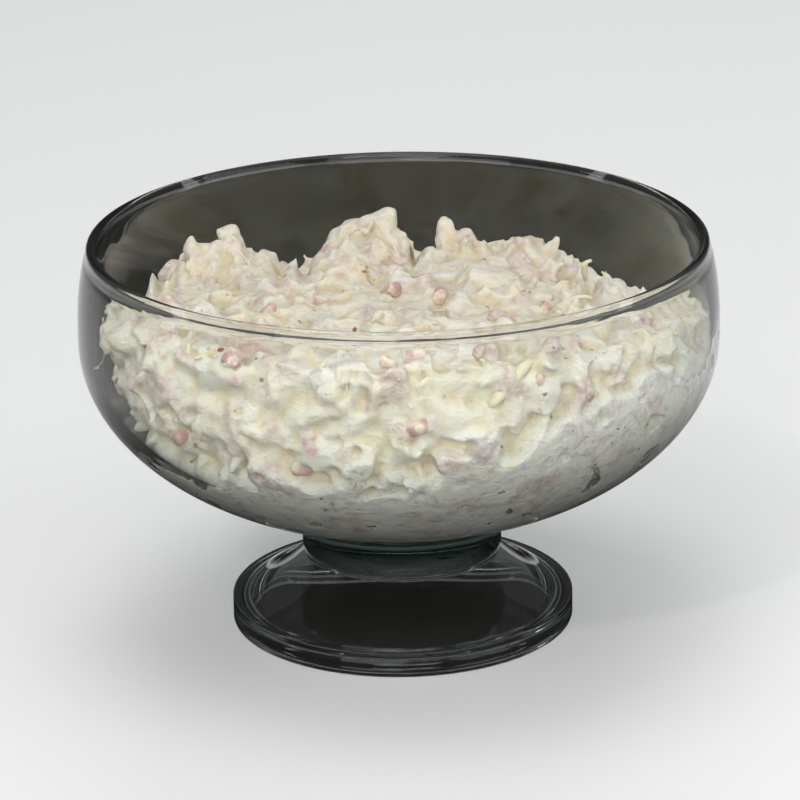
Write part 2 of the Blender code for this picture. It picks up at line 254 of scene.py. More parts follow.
def wall_curve(radius, depth, lip_radius, bowl_steps=40, draw_in_steps=16):
    """Half a bowl wall from its lowest point to just below the lip, as (radius, z) pairs."""
    points = []
    for step in range(bowl_steps + 1):
        turn = math.pi / 2 * step / bowl_steps
        points.append((radius * math.sin(turn), WIDEST_Z - depth * math.cos(turn)))
    for step in range(1, draw_in_steps + 1):
        share = step / draw_in_steps
        drawn_in = (radius - lip_radius) * share**DRAW_IN_POWER
        points.append((radius - drawn_in, WIDEST_Z + (LIP_CENTRE_Z - WIDEST_Z) * share))
    return points


def arc(centre_r, centre_z, radius, start, end, steps):
    """Points on an arc of the profile, with its angles in degrees from straight outwards."""
    turns = [math.radians(start + (end - start) * step / steps) for step in range(steps + 1)]
    return [(centre_r + radius * math.cos(t), centre_z + radius * math.sin(t)) for t in turns]


def foot_profile():
    """Button, trumpet, disc, the ring that it stands on and the hollow under it."""
    joint_z = WIDEST_Z - BOWL_DEPTH * math.sqrt(1 - (BUTTON_RADIUS / WIDEST_RADIUS) ** 2)
    round_centre = BUTTON_RADIUS - EDGE_ROUND
    points = [(BUTTON_RADIUS, joint_z - 1.2 * MM), (BUTTON_RADIUS, joint_z - 6 * MM)]
    points += arc(round_centre, BUTTON_Z + EDGE_ROUND, EDGE_ROUND, 0, -90, ROUND_STEPS)
    spread = DISC_RADIUS - EDGE_ROUND - TRUMPET_TOP_RADIUS
    drop = TRUMPET_TOP_Z - DISC_EDGE
    for step in range(CURVE_STEPS):
        share = step / CURVE_STEPS
        fall = drop * (1 - share) ** TRUMPET_POWER
        points.append((TRUMPET_TOP_RADIUS + spread * share, DISC_EDGE + fall))
    rim_centre = DISC_RADIUS - EDGE_ROUND
    points += arc(rim_centre, DISC_EDGE - EDGE_ROUND, EDGE_ROUND, 90, 0, ROUND_STEPS)
    points += arc(rim_centre, EDGE_ROUND, EDGE_ROUND, 0, -90, ROUND_STEPS)
    points += [(STAND_INNER_RADIUS, 0.0), (STAND_INNER_RADIUS, HOLLOW_EDGE_Z - 2 * MM)]
    for step in range(CURVE_STEPS + 1):
        share = step / CURVE_STEPS
        reach = STAND_INNER_RADIUS + (HOLLOW_TOP_RADIUS - STAND_INNER_RADIUS) * share
        rise = (HOLLOW_TOP_Z - HOLLOW_EDGE_Z) * share**HOLLOW_POWER
        points.append((reach, HOLLOW_EDGE_Z + rise))
    points.append((HOLLOW_TOP_RADIUS - 2 * MM, HOLLOW_TOP_Z + 0.8 * MM))
    points.append((0.0, HOLLOW_TOP_Z + 1 * MM))
    return points


def turned_mesh(name, profile):
    """A closed mesh of the profile's (radius, z) points turned once round the Z axis."""
    bm = bmesh.new()
    verts = [bm.verts.new((radius, 0.0, z)) for radius, z in profile]
    edges = [bm.edges.new(pair) for pair in zip(verts, verts[1:])]
    bmesh.ops.spin(
        bm,
        geom=verts + edges,
        cent=(0, 0, 0),
        axis=(0, 0, 1),
        angle=2 * math.pi,
        steps=GLASS_SEGMENTS,
        use_merge=True,
    )
    bmesh.ops.remove_doubles(bm, verts=bm.verts, dist=MERGE_DISTANCE)
    bmesh.ops.recalc_face_normals(bm, faces=bm.faces)
    return mesh_of(name, bm)


def build_glass():
    inner = wall_curve(INNER_RADIUS, INNER_DEPTH, INNER_LIP_RADIUS)
    outer = wall_curve(WIDEST_RADIUS, BOWL_DEPTH, LIP_RADIUS)[::-1]
    outer = [point for point in outer if point[0] > BUTTON_RADIUS + 2 * MM]
    lip = arc(LIP_RADIUS - WALL / 2, LIP_CENTRE_Z - LIP_BEAD / 5, LIP_BEAD, 215, -35, LIP_STEPS)
    lip_foot = LIP_CENTRE_Z - LIP_BEAD * 1.3
    inner = [point for point in inner if point[1] < lip_foot]
    outer = [point for point in outer if point[1] < lip_foot]
    mesh = turned_mesh("bowl_glass", inner + lip + outer + foot_profile())
    dressed("bowl_glass", mesh, glass_surface(), "clear_glass", "glass_bowl")


# Joined meshes from arrays

def form_arrays(bm):
    """A template's points and faces as plain arrays, and the bmesh freed."""
    bm.verts.index_update()
    points = np.array([vert.co[:] for vert in bm.verts])
    faces = [[vert.index for vert in face.verts] for face in bm.faces]
    bm.free()
    return points, faces


def shred_form(length, width, bend, sides=6, cuts=4):
    """A strip with slim ends, bent in an arc, lying along X."""
    bm = bmesh.new()
    bmesh.ops.create_cone(
        bm, cap_ends=True, segments=sides, radius1=width / 2, radius2=width / 2, depth=length
    )
    long_edges = [e for e in bm.edges if abs(e.verts[0].co.z - e.verts[1].co.z) > length / 2]
    bmesh.ops.subdivide_edges(bm, edges=long_edges, cuts=cuts)
    bmesh.ops.rotate(bm, verts=bm.verts, matrix=Matrix.Rotation(math.pi / 2, 3, "Y"))
    for vert in bm.verts:
        share = 2 * vert.co.x / length
        slim = 1 - 0.4 * share**2
        vert.co.y = vert.co.y * slim + 0.5 * bend * math.sin(2.2 * share)
        vert.co.z = 0.75 * vert.co.z * slim - bend * share**2
    return form_arrays(bm)


def lump_form(radius, seed):
    """A ball pushed out of round by smooth noise."""
    bm = bmesh.new()
    bmesh.ops.create_icosphere(bm, subdivisions=2, radius=radius)
    for vert in bm.verts:
        push = noise.noise(vert.co / radius * 1.2 + Vector((seed, 0, 0)))
        vert.co *= 1 + 0.7 * push
    bmesh.ops.scale(bm, verts=bm.verts, vec=(1.15, 0.9, 0.7))
    return form_arrays(bm)


def flake_form(length, seed, thickness=0.22):
    """A small torn flake, longer than it is wide."""
    bm = bmesh.new()
    bmesh.ops.create_icosphere(bm, subdivisions=1, radius=length / 2)
    for vert in bm.verts:
        vert.co *= 1 + 0.7 * noise.noise(vert.co / length * 2.5 + Vector((seed, 1.7, 0)))
    bmesh.ops.scale(bm, verts=bm.verts, vec=(1.1, 0.65, thickness))
    return form_arrays(bm)


def die_form(sides, round_edge, skew):
    """A block of ham with soft edges, sheared a little, as a knife leaves it."""
    bm = bmesh.new()
    bmesh.ops.create_cube(bm, size=1.0)
    bmesh.ops.scale(bm, verts=bm.verts, vec=sides)
    bmesh.ops.bevel(
        bm,
        geom=bm.edges[:],
        offset=round_edge,
        segments=2,
        profile=0.5,
        affect="EDGES",
        material=-1,
    )
    for vert in bm.verts:
        wander = noise.noise_vector(vert.co / (4 * MM) + Vector((60 * sides[0] / MM, 0, 0)))
        vert.co += wander * 0.7 * MM
        vert.co.x += skew * vert.co.z
        vert.co.y += 0.5 * skew * vert.co.x
    return form_arrays(bm)


def facing(normals, rng, tilt):
    """Turned frames whose third axis is near each normal, one 3 by 3 matrix for each."""
    count = len(normals)
    up = normals + tilt * rng.normal(size=(count, 3))
    up /= np.linalg.norm(up, axis=1, keepdims=True)
    along = rng.normal(size=(count, 3))
    along -= up * np.sum(along * up, axis=1, keepdims=True)
    along /= np.linalg.norm(along, axis=1, keepdims=True)
    return np.stack([along, np.cross(up, along), up], axis=2)


def copies(forms, points, turns, sizes, rng):
    """The forms put at each point: all their vertices, faces, and each face's copy number."""
    all_points, all_faces, owners = [], [], []
    first = 0
    for number, pick in enumerate(rng.integers(len(forms), size=len(points))):
        form_points, form_faces = forms[pick]
        placed = form_points * sizes[number] @ turns[number].T + points[number]
        all_points.append(placed)
        all_faces.extend([first + index for index in face] for face in form_faces)
        owners.extend([number] * len(form_faces))
        first += len(form_points)
    return np.concatenate(all_points), all_faces, np.array(owners)


def mesh_from(name, points, faces):
    mesh = bpy.data.meshes.new(name)
    mesh.from_pydata(points.tolist(), [], faces)
    mesh.update()
    return mesh


def applied(obj):
    """The object's mesh with its modifiers applied, and the object removed."""
    graph = bpy.context.evaluated_depsgraph_get()
    mesh = bpy.data.meshes.new_from_object(obj.evaluated_get(graph))
    bpy.data.objects.remove(obj)
    return mesh


def one_skin(mesh, voxel, smooth_rounds, most_triangles=None):
    """One even skin round everything in the mesh, relaxed a little and thinned to a number."""
    obj = linked("skin_work", mesh)
    remesh = obj.modifiers.new("even_skin", "REMESH")
    remesh.mode = "VOXEL"
    remesh.voxel_size = voxel
    relax = obj.modifiers.new("relax", "SMOOTH")
    relax.factor = 0.5
    relax.iterations = smooth_rounds
    skin = applied(obj)
    skin.calc_loop_triangles()
    count = len(skin.loop_triangles)
    if most_triangles and count > most_triangles:
        obj = linked("skin_work", skin)
        obj.modifiers.new("thin", "DECIMATE").ratio = most_triangles / count
        skin = applied(obj)
    return skin


def points_of(mesh):
    flat = np.empty(len(mesh.vertices) * 3, np.float32)
    mesh.vertices.foreach_get("co", flat)
    return flat.reshape(-1, 3).astype(float)


def normals_of(mesh):
    flat = np.empty(len(mesh.vertices) * 3, np.float32)
    mesh.vertex_normals.foreach_get("vector", flat)
    return flat.reshape(-1, 3).astype(float)


def put_points(mesh, points):
    mesh.vertices.foreach_set("co", points.astype(np.float32).ravel())
    mesh.update()


# Salad

def wall_radius(z):
    """Radius of the bowl's inner wall at height z."""
    below = np.clip((WIDEST_Z - z) / INNER_DEPTH, 0.0, 1.0)
    above = np.clip((z - WIDEST_Z) / (LIP_CENTRE_Z - WIDEST_Z), 0.0, 1.0)
    drawn_in = (INNER_RADIUS - INNER_LIP_RADIUS) * above**DRAW_IN_POWER
    return np.where(z < WIDEST_Z, INNER_RADIUS * np.sqrt(1 - below**2), INNER_RADIUS - drawn_in)


def heap_copy():
    """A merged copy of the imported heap, as a bmesh."""
    bm = bmesh.new()
    bm.from_mesh(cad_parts["ham_salad"].data)
    bmesh.ops.remove_doubles(bm, verts=bm.verts, dist=0.4 * MERGE_DISTANCE)
    return bm


def relaxed_heap():
    """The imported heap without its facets: skinned evenly, relaxed and set in."""
    core = one_skin(mesh_of("heap_core", heap_copy()), CORE_VOXEL, 4)
    points = points_of(core)
    set_in = CORE_SET_IN + LEFT_SET_IN * smoothstep(75 * MM, 95 * MM, -points[:, 0])
    put_points(core, points - normals_of(core) * set_in[:, None])
    return core


def on_peaks(points):
    """Which points belong to a pulled-up peak."""
    belongs = np.zeros(len(points), bool)
    for foot, tip, *widths in PEAKS:
        foot, tip = np.array(foot) * MM, np.array(tip) * MM
        rise = tip - foot
        share = np.clip((points - foot) @ rise / (rise @ rise), 0.0, 1.0)
        far = np.linalg.norm(points - foot - share[:, None] * rise, axis=1)
        belongs |= far < 0.5 * max(widths) * MM + 1.2 * MM
    return belongs


def held_to_heap(points, free):
    """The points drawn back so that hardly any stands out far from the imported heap."""
    tree = BVHTree.FromBMesh(heap_copy())
    held = points.copy()
    for index in np.flatnonzero(~free):
        place = Vector(points[index])
        on_heap, out, _, _ = tree.find_nearest(place)
        away = (place - on_heap).dot(out)
        if away > 0:
            back = away - STANDS_OUT * math.tanh(away / STANDS_OUT)
            held[index] = place - out * back
    return held


def spots(mesh, count, rng):
    """Places spread evenly at random over the mesh, and the way out of it at each."""
    mesh.calc_loop_triangles()
    corners = np.empty(len(mesh.loop_triangles) * 3, np.int32)
    mesh.loop_triangles.foreach_get("vertices", corners)
    a, b, c = np.moveaxis(points_of(mesh)[corners.reshape(-1, 3)], 1, 0)
    cross = np.cross(b - a, c - a)
    area = np.linalg.norm(cross, axis=1)
    pick = rng.choice(len(area), size=count, p=area / area.sum())
    u, v = rng.random((2, count, 1))
    fold = u + v > 1
    u, v = np.where(fold, 1 - u, u), np.where(fold, 1 - v, v)
    return a[pick] + u * (b - a)[pick] + v * (c - a)[pick], cross[pick] / area[pick, None]


def noise_at(points, size, seed):
    """Smooth noise between about -1 and 1 at each point, its lumps this size."""
    shift = Vector((seed, -seed, 0.5 * seed))
    return np.array([noise.noise(Vector(p) + shift) for p in points / size])


def folds_at(points):
    """How far the dressing swells at each point: round lobes with creases, drawn out and curled."""
    swell = np.zeros(len(points))
    for number, (size, height) in enumerate(FOLDS):
        for index, place in enumerate(points / size):
            place = Vector(place) + Vector((7.0 * number, 3.0, 0.0))
            curl = noise.noise_vector(place * 0.55) * 1.5
            swell[index] += height * (2.6 * abs(noise.noise(place + curl)) - 0.75)
    return swell


def to_wall(points):
    """How far each point is from the bowl's middle, the wall's distance that way, and the middle."""
    x, y, z = points.T
    r = np.hypot(x, y)
    low = z < WIDEST_Z
    q = np.sqrt((r / INNER_RADIUS) ** 2 + ((z - WIDEST_Z) / INNER_DEPTH) ** 2)
    away = np.where(low, np.hypot(r, z - WIDEST_Z), r)
    reach = np.where(low, away / np.maximum(q, 1e-6), wall_radius(z))
    return away, reach, np.where(low, WIDEST_Z, z)


def pressed(points):
    """The points moved so that the skin lies flat on the glass where it comes near it."""
    x, y, z = points.T
    away, reach, centre_z = to_wall(points)
    gap = reach - away
    near = gap < NEAR_GLASS
    press_z = PRESSED_BELOW_Z + PRESSED_RISE_TO_RIGHT * smoothstep(-40 * MM, 80 * MM, x)
    press_z += sum(height * noise_at(points, size, seed) for height, size, seed in WAVES)
    press = 1 - smoothstep(press_z - 8 * MM, press_z + 22 * MM, z)
    dips = np.zeros(len(points))
    dips[near] = smoothstep(0.46, 0.58, noise_at(points[near], DIP_SIZE, 5.3))
    dips *= press
    gap_now = np.maximum(gap, -WALL_REACH)
    clear_from = (0.5 + 4.3 * press) * MM
    clear_by = (1.6 + 7.0 * press) * MM
    lie = smoothstep(clear_from, clear_by, gap_now)
    gap_now = -WALL_REACH + (gap_now + WALL_REACH) * lie + DIP_DEPTH * dips
    moved = points.copy()
    scale = np.where(near, (reach - gap_now) / np.maximum(away, 1e-6), 1.0)
    moved[:, 0] = x * scale
    moved[:, 1] = y * scale
    moved[:, 2] = centre_z + (z - centre_z) * scale
    return moved, np.where(near, (1 - lie) * (1 - dips), 0.0)


def averaged(mesh, values, rounds):
    """Each vertex's value drawn towards its neighbours' mean this many times."""
    ends = np.empty(len(mesh.edges) * 2, np.int32)
    mesh.edges.foreach_get("vertices", ends)
    a, b = ends.reshape(-1, 2).T
    shape = values.shape[1:]
    degree = np.bincount(ends, minlength=len(values)).reshape((-1,) + (1,) * len(shape))
    for _ in range(rounds):
        total = np.zeros_like(values)
        np.add.at(total, a, values[b])
        np.add.at(total, b, values[a])
        values = 0.5 * values + 0.5 * total / np.maximum(degree, 1)
    return values


def add_values(mesh, name, values):
    mesh.attributes.new(name, "FLOAT", "POINT").data.foreach_set("value", values.astype(np.float32))


def peak_form(foot, tip, foot_width, tip_width):
    """A pulled-up point of dressing with a round head, leaning from foot to tip."""
    bm = bmesh.new()
    foot, tip = Vector(foot) * MM, Vector(tip) * MM
    rise = tip - foot
    bmesh.ops.create_uvsphere(bm, u_segments=10, v_segments=8, radius=1.0)
    for vert in bm.verts:
        share = 0.5 * (vert.co.z + 1)
        width = 0.5 * (foot_width + (tip_width - foot_width) * share) * MM
        wave = noise.noise_vector(Vector((share * 2.3, foot.x * 300, foot.y * 300))) * 0.8 * MM
        round_off = math.sqrt(max(0.0, 1 - (2 * share - 1) ** 8))
        flat = Vector((vert.co.x, vert.co.y, 0))
        if flat.length > 1e-6:
            flat = flat.normalized() * width * round_off
        vert.co = foot + rise * share + flat + wave * share
    bmesh.ops.recalc_face_normals(bm, faces=bm.faces)
    return form_arrays(bm)


def camera_matrix():
    look = Matrix.Rotation(math.radians(90 - CAMERA_PITCH), 4, "X")
    roll = Matrix.Rotation(math.radians(CAMERA_ROLL), 4, "Z")
    return Matrix.Translation(CAMERA_AT) @ look @ roll


def seen_at(points):
    """Where the camera sees each point, in pixels across and down its view."""
    turn = np.array(camera_matrix().inverted())
    x, y, z = (points @ turn[:3, :3].T + turn[:3, 3]).T
    scale = VIEW_SIZE * CAMERA_LENS / 36.0
    return VIEW_SIZE / 2 - scale * x / z, VIEW_SIZE / 2 + scale * y / z


def led_to_skyline(points, peaks):
    """The points near the top of the heap raised or lowered until it has the skyline seen.

    The back of the heap only follows the skyline's broad course, so that it keeps its own form.
    """
    wanted_at, wanted = np.array(SKYLINE, float).T
    columns = np.arange(wanted_at[0], wanted_at[-1], COLUMN_STEP)
    at_back = smoothstep(48 * MM, 66 * MM, points[:, 1])
    broad = np.hanning(BROAD_COLUMNS + 2)[1:-1]
    broad /= broad.sum()
    moved = points.copy()
    for _ in range(4):
        across, down = seen_at(moved)
        tops = np.array([down[~peaks & (abs(across - column) < 5)].min() for column in columns])
        shift = tops - np.interp(columns, wanted_at, wanted)
        below = down - np.interp(across, columns, tops)
        share = (1 - smoothstep(5, 40, below)) * smoothstep(-6, 0, below) * (1 - 0.8 * peaks)
        broad_shift = np.convolve(np.pad(shift, BROAD_COLUMNS // 2, "edge"), broad, "valid")
        shift = np.interp(across, columns, shift, left=0.0, right=0.0)
        broad_shift = np.interp(across, columns, broad_shift, left=0.0, right=0.0)
        shift += at_back * (broad_shift - shift)
        moved[:, 2] += share * shift * A_PIXEL_UP
    return moved


def places_seen(mesh, pixels):
    """Where the camera's lines through these pixels meet the mesh, and the way out of it there."""
    tree = BVHTree.FromPolygons(points_of(mesh).tolist(), [list(f.vertices) for f in mesh.polygons])
    turn = camera_matrix()
    scale = VIEW_SIZE * CAMERA_LENS / 36.0
    met = []
    for across, down in pixels:
        half = VIEW_SIZE / 2
        line = turn.to_3x3() @ Vector(((across - half) / scale, (half - down) / scale, -1.0))
        place, out, _, _ = tree.ray_cast(turn.translation, line.normalized())
        if place is not None:
            met.append((np.array(place), np.array(out)))
    return np.array([m[0] for m in met]), np.array([m[1] for m in met])


def salad_parts(core, rng):
    """The heap's core with all that is laid on it, as points, faces, kinds and owners."""
    lumps = [lump_form(radius * MM, seed) for seed, radius in enumerate((1.9, 2.5, 3.2, 4.2, 5.2))]
    shreds = [
        shred_form(length * MM, width * MM, bend * MM)
        for length, width, bend in (
            (7, 2.2, 0.9), (10, 2.6, 1.8), (13, 2.2, 2.4),
            (16, 2.8, 3.4), (20, 2.6, 4.6), (10, 3.2, 1.4),
        )
    ]
    dice = [
        die_form((a * MM, b * MM, c * MM), 0.7 * MM, skew)
        for a, b, c, skew in (
            (5, 5, 4, 0.1), (7, 6, 4, -0.2), (9, 5, 4, 0.2),
            (6, 7, 4, 0.1), (12, 6, 4, -0.1), (8, 8, 4, 0.3),
        )
    ]
    core_points = points_of(core)
    all_points, all_faces = [core_points], [list(face.vertices) for face in core.polygons]
    kinds, owners = [np.full(len(all_faces), CORE)], [np.zeros(len(all_faces), int)]
    first = len(core_points)

    def take(kind, points, faces, owner):
        nonlocal first
        all_points.append(points)
        all_faces.extend([first + index for index in face] for face in faces)
        kinds.append(np.full(len(faces), kind))
        owners.append(owner)
        first += len(points)

    for kind, forms, count, tilt, lift in (
        (LUMP, lumps, 1900, 0.5, 0.0),
        (SHRED, shreds, 1900, 0.25, 0.8 * MM),
        (HAM, dice, 620, 0.3, 0.4 * MM),
    ):
        points, normals = spots(core, count, rng)
        points = points + normals * (lift + rng.normal(0, 0.7 * MM, (count, 1)))
        sizes = rng.uniform(0.75, 1.25, count)
        take(kind, *copies(forms, points, facing(normals, rng, tilt), sizes, rng))
    points, normals = places_seen(core, [place[:2] for place in HAM_UNDER])
    for number, (place, out) in enumerate(zip(points, normals)):
        form = [die_form([side * MM for side in HAM_UNDER[number][2:]], 0.7 * MM, 0.15)]
        turn = facing(out[None], rng, 0.2)
        part, faces, _ = copies(form, place[None] + out * 1.4 * MM, turn, [1.0], rng)
        take(HAM, part, faces, np.full(len(faces), HAM_UNDER_NUMBER - number))
    for number, peak in enumerate(PEAKS):
        part, faces = peak_form(*peak)
        take(PEAK, part, faces, np.full(len(faces), number))
    return np.concatenate(all_points), all_faces, np.concatenate(kinds), np.concatenate(owners)


def build_skin(rng):
    """The dressed heap before it is pressed, with what lies under each part of the skin."""
    core = relaxed_heap()
    part_points, part_faces, kinds, owners = salad_parts(core, rng)
    loose = mesh_from("salad_parts", part_points, part_faces)
    skin = one_skin(loose, SKIN_VOXEL, 2, SKIN_TRIANGLES)
    points = points_of(skin)
    tree = BVHTree.FromPolygons(part_points.tolist(), part_faces)
    nearest = np.array([tree.find_nearest(point)[2] for point in points.tolist()])
    away, reach, _ = to_wall(points)
    by_glass = 1 - smoothstep(7 * MM, 16 * MM, reach - away)
    by_glass *= 1 - smoothstep(122 * MM, 132 * MM, points[:, 2])
    points += 0.85 * by_glass[:, None] * (averaged(skin, points, 8) - points)
    put_points(skin, points)
    peaks = on_peaks(points)
    points = held_to_heap(points + normals_of(skin) * folds_at(points)[:, None], peaks)
    points = led_to_skyline(points, peaks)
    put_points(skin, points)
    hollows, ways_out = places_seen(skin, [place[:2] for place in HOLLOWS])
    for (_, _, depth, spread), place, out in zip(HOLLOWS, hollows, ways_out):
        far = np.sum((points - place) ** 2, axis=1)
        points = points - out * (depth * MM * np.exp(-far / (2 * (spread * MM) ** 2)))[:, None]
    put_points(skin, averaged(skin, points, 1))
    ham = (kinds[nearest] == HAM).astype(float)
    shows = rng.beta(1.1, 1.5, MOST_OF_A_KIND)
    plain_from = HAM_UNDER_NUMBER - len(HAM_UNDER)
    shows[plain_from:] = rng.uniform(0.55, 1.0, MOST_OF_A_KIND - plain_from)
    owner = owners[nearest] % MOST_OF_A_KIND
    showing = shows[owner]
    tone = rng.random((KINDS, MOST_OF_A_KIND))[kinds[nearest], owner]
    add_values(skin, "ham", averaged(skin, ham * showing, 1))
    add_values(skin, "tone", averaged(skin, tone, 3))
    return skin


def press_to_glass(mesh, contact=True):
    points, lying = pressed(points_of(mesh))
    put_points(mesh, points)
    if contact:
        add_values(mesh, "contact", averaged(mesh, lying, 1))


def finish_skin(skin):
    press_to_glass(skin)
    points = points_of(skin)
    # How far each point sinks into a hollow; the skin's material darkens its colour there as painted
    # shade
    hollow = np.sum((averaged(skin, points, 8) - points) * normals_of(skin), axis=1)
    add_values(skin, "hollow", averaged(skin, np.clip(hollow / (0.5 * MM), -1, 1), 1))
    dressed("salad_mass", skin, salad_surface(), "dressed_salad", "ham_salad")


def strip_between(skin, start, end, width):
    """A long strip laid on the skin between two places seen."""
    (first, last), ways_out = places_seen(skin, [start, end])
    length = np.linalg.norm(last - first)
    along = (last - first) / length
    up = ways_out.mean(axis=0)
    up -= along * (up @ along)
    up /= np.linalg.norm(up)
    points, faces = shred_form(length, width, 0.12 * width, 6, 9)
    turn = np.stack([along, np.cross(up, along), up], axis=1)
    return points @ turn.T + (first + last) / 2 + up * 0.3 * MM, faces


def laid_on(skin, name, forms, count, tilt, lift, spread, rng, sizes, pixels=(), strip=None):
    """Small things laid on the skin at random and at some places seen, each with its own tone."""
    points, normals = spots(skin, count, rng)
    if pixels:
        seen, out = places_seen(skin, pixels)
        points = np.concatenate([seen, points])
        normals = np.concatenate([out, normals])
    count = len(points)
    points = points + normals * (lift + rng.normal(0, spread, (count, 1)))
    scale = rng.uniform(*sizes, count)
    points, faces, owner = copies(forms, points, facing(normals, rng, tilt), scale, rng)
    tones = np.zeros(len(points))
    for value, face in zip(rng.random(count)[owner], faces):
        tones[face] = value
    if strip:
        strip_points, strip_faces = strip
        faces += [[len(points) + index for index in face] for face in strip_faces]
        points = np.concatenate([points, strip_points])
        tones = np.concatenate([tones, np.full(len(strip_points), 0.3)])
    mesh = mesh_from(name, points, faces)
    add_values(mesh, "tone", tones)
    press_to_glass(mesh, contact=False)
    return mesh


def plain_ham(skin, rng):
    """Morsels of ham that lie clear of the dressing: some at places seen, the others anywhere."""
    seen, ways_out = places_seen(skin, [place[:2] for place in HAM_SHOWING])
    others, other_ways = spots(skin, 12, rng)
    all_points, all_faces, all_tones = [], [], []
    first = 0
    jobs = [
        (place, out, sides, red)
        for place, out, (_, _, sides, red) in zip(seen, ways_out, HAM_SHOWING)
    ]
    jobs += [
        (place, out, rng.uniform((4, 4, 3.5), (9, 6, 4.5)), rng.random())
        for place, out in zip(others, other_ways)
    ]
    for number, (place, out, sides, red) in enumerate(jobs):
        sides = [side * MM for side in sides]
        form = [die_form(sides, 1.5 * MM, 0.12)]
        clear_by = (1.7 if number < len(seen) else 0.8) * MM
        sunk = place[None] - out * (0.5 * sides[2] - clear_by)
        points, faces, _ = copies(form, sunk, facing(out[None], rng, 0.15), [1.0], rng)
        all_points.append(points)
        all_faces.extend([first + index for index in face] for face in faces)
        all_tones.append(np.full(len(points), red))
        first += len(points)
    mesh = mesh_from("ham_dice", np.concatenate(all_points), all_faces)
    add_values(mesh, "tone", np.concatenate(all_tones))
    press_to_glass(mesh, contact=False)
    return mesh


def build_salad():
    noise.seed_set(SALAD_SEED)
    rng = np.random.default_rng(SALAD_SEED)
    skin = build_skin(rng)
    dressed("ham_dice", plain_ham(skin, rng), coated_surface("cooked_ham"), "dressed_salad")
    strips = [
        shred_form(length * MM, width * MM, bend * MM, 6, 5)
        for length, width, bend in ((5, 1.7, 0.5), (7, 2.0, 0.8), (9, 1.9, 1.2))
    ]
    long_strip = strip_between(skin, (530, 360), (488, 404), 5.5 * MM)
    shreds = laid_on(
        skin, "pale_shreds", strips, 110, 0.06, -0.55 * MM, 0.12 * MM, rng, (0.8, 1.2), (), long_strip
    )
    dressed("pale_shreds", shreds, coated_surface("pale_shred"), "dressed_salad")
    crumbs = [flake_form(length * MM, seed) for seed, length in enumerate((1.1, 1.6, 2.3, 1.4))]
    flecks = laid_on(
        skin, "herb_flecks", crumbs, 130, 0.12, -0.02 * MM, 0.05 * MM, rng, (0.5, 1.2), HERBS_AT
    )
    dressed("herb_flecks", flecks, coated_surface("chopped_herb"), "dressed_salad")
    bits = [flake_form(length * MM, 30 + length, 0.42) for length in (2.6, 3.2, 4.0)]
    browned = laid_on(
        skin, "browned_bits", bits, 14, 0.2, -0.35 * MM, 0.15 * MM, rng, (0.6, 1.1), BROWNED_AT
    )
    dressed("browned_bits", browned, coated_surface("browned_bit"), "dressed_salad")
    finish_skin(skin)


# Materials

def new_material(name):
    made = bpy.data.materials.new(name)
    made.use_nodes = True
    tree = made.node_tree
    return made, tree, tree.nodes["Principled BSDF"], tree.nodes["Material Output"]


def node(tree, kind, **settings):
    made = tree.nodes.new("ShaderNode" + kind)
    for name, value in settings.items():
        setattr(made, name, value)
    return made


def mixed(tree, factor, first, second, blend="MIX"):
    """Colour socket of a mix; factor, first and second are sockets or plain values."""
    mix = node(tree, "Mix", data_type="RGBA", blend_type=blend)
    for name, value in (("Factor", factor), ("A", first), ("B", second)):
        sockets = [s for s in mix.inputs if s.name == name and s.enabled]
        if isinstance(value, bpy.types.NodeSocket):
            tree.links.new(value, sockets[0])
        else:
            sockets[0].default_value = value if name == "Factor" else (*value, 1.0)
    return next(s for s in mix.outputs if s.enabled)


def mapped(tree, value, low, high, to_low=0.0, to_high=1.0):
    ranged = node(tree, "MapRange")
    tree.links.new(value, ranged.inputs["Value"])
    limits = {"From Min": low, "From Max": high, "To Min": to_low, "To Max": to_high}
    for name, number in limits.items():
        ranged.inputs[name].default_value = number
    return ranged.outputs["Result"]


def math_node(tree, operation, first, second):
    made = node(tree, "Math", operation=operation)
    for socket, value in zip(made.inputs, (first, second)):
        if isinstance(value, bpy.types.NodeSocket):
            tree.links.new(value, socket)
        else:
            socket.default_value = value
    return made.outputs[0]


def new_group(name, inputs, outputs):
    """A node group of plain numbers with these inputs and outputs."""
    group = bpy.data.node_groups.new(name, "ShaderNodeTree")
    for label in inputs:
        group.interface.new_socket(name=label, in_out="INPUT", socket_type="NodeSocketFloat")
    for label in outputs:
        group.interface.new_socket(name=label, in_out="OUTPUT", socket_type="NodeSocketFloat")
    return group, group.nodes.new("NodeGroupInput")


def build_groups():
    """The two effects that the salad's materials share: smears of dressing and a moist grain."""
    noise_inputs = ("Scale", "Detail", "Distortion", "Stretch")
    smears, given = new_group("dressing_smear", (*noise_inputs, "Low", "High", "Amount"), ("Mask",))
    clouds = noise_in(smears, given)
    ranged = node(smears, "MapRange")
    smears.links.new(clouds, ranged.inputs["Value"])
    for label, socket in (("Low", "From Min"), ("High", "From Max"), ("Amount", "To Max")):
        smears.links.new(given.outputs[label], ranged.inputs[socket])
    smears.links.new(ranged.outputs["Result"], smears.nodes.new("NodeGroupOutput").inputs["Mask"])

    grain, given = new_group(
        "moist_grain", (*noise_inputs, "Smoothest", "Roughest"), ("Height", "Roughness")
    )
    clouds = noise_in(grain, given)
    ranged = node(grain, "MapRange")
    grain.links.new(clouds, ranged.inputs["Value"])
    ranged.inputs["From Min"].default_value = 0.3
    ranged.inputs["From Max"].default_value = 0.7
    grain.links.new(given.outputs["Smoothest"], ranged.inputs["To Min"])
    grain.links.new(given.outputs["Roughest"], ranged.inputs["To Max"])
    put_out = grain.nodes.new("NodeGroupOutput")
    grain.links.new(clouds, put_out.inputs["Height"])
    grain.links.new(ranged.outputs["Result"], put_out.inputs["Roughness"])


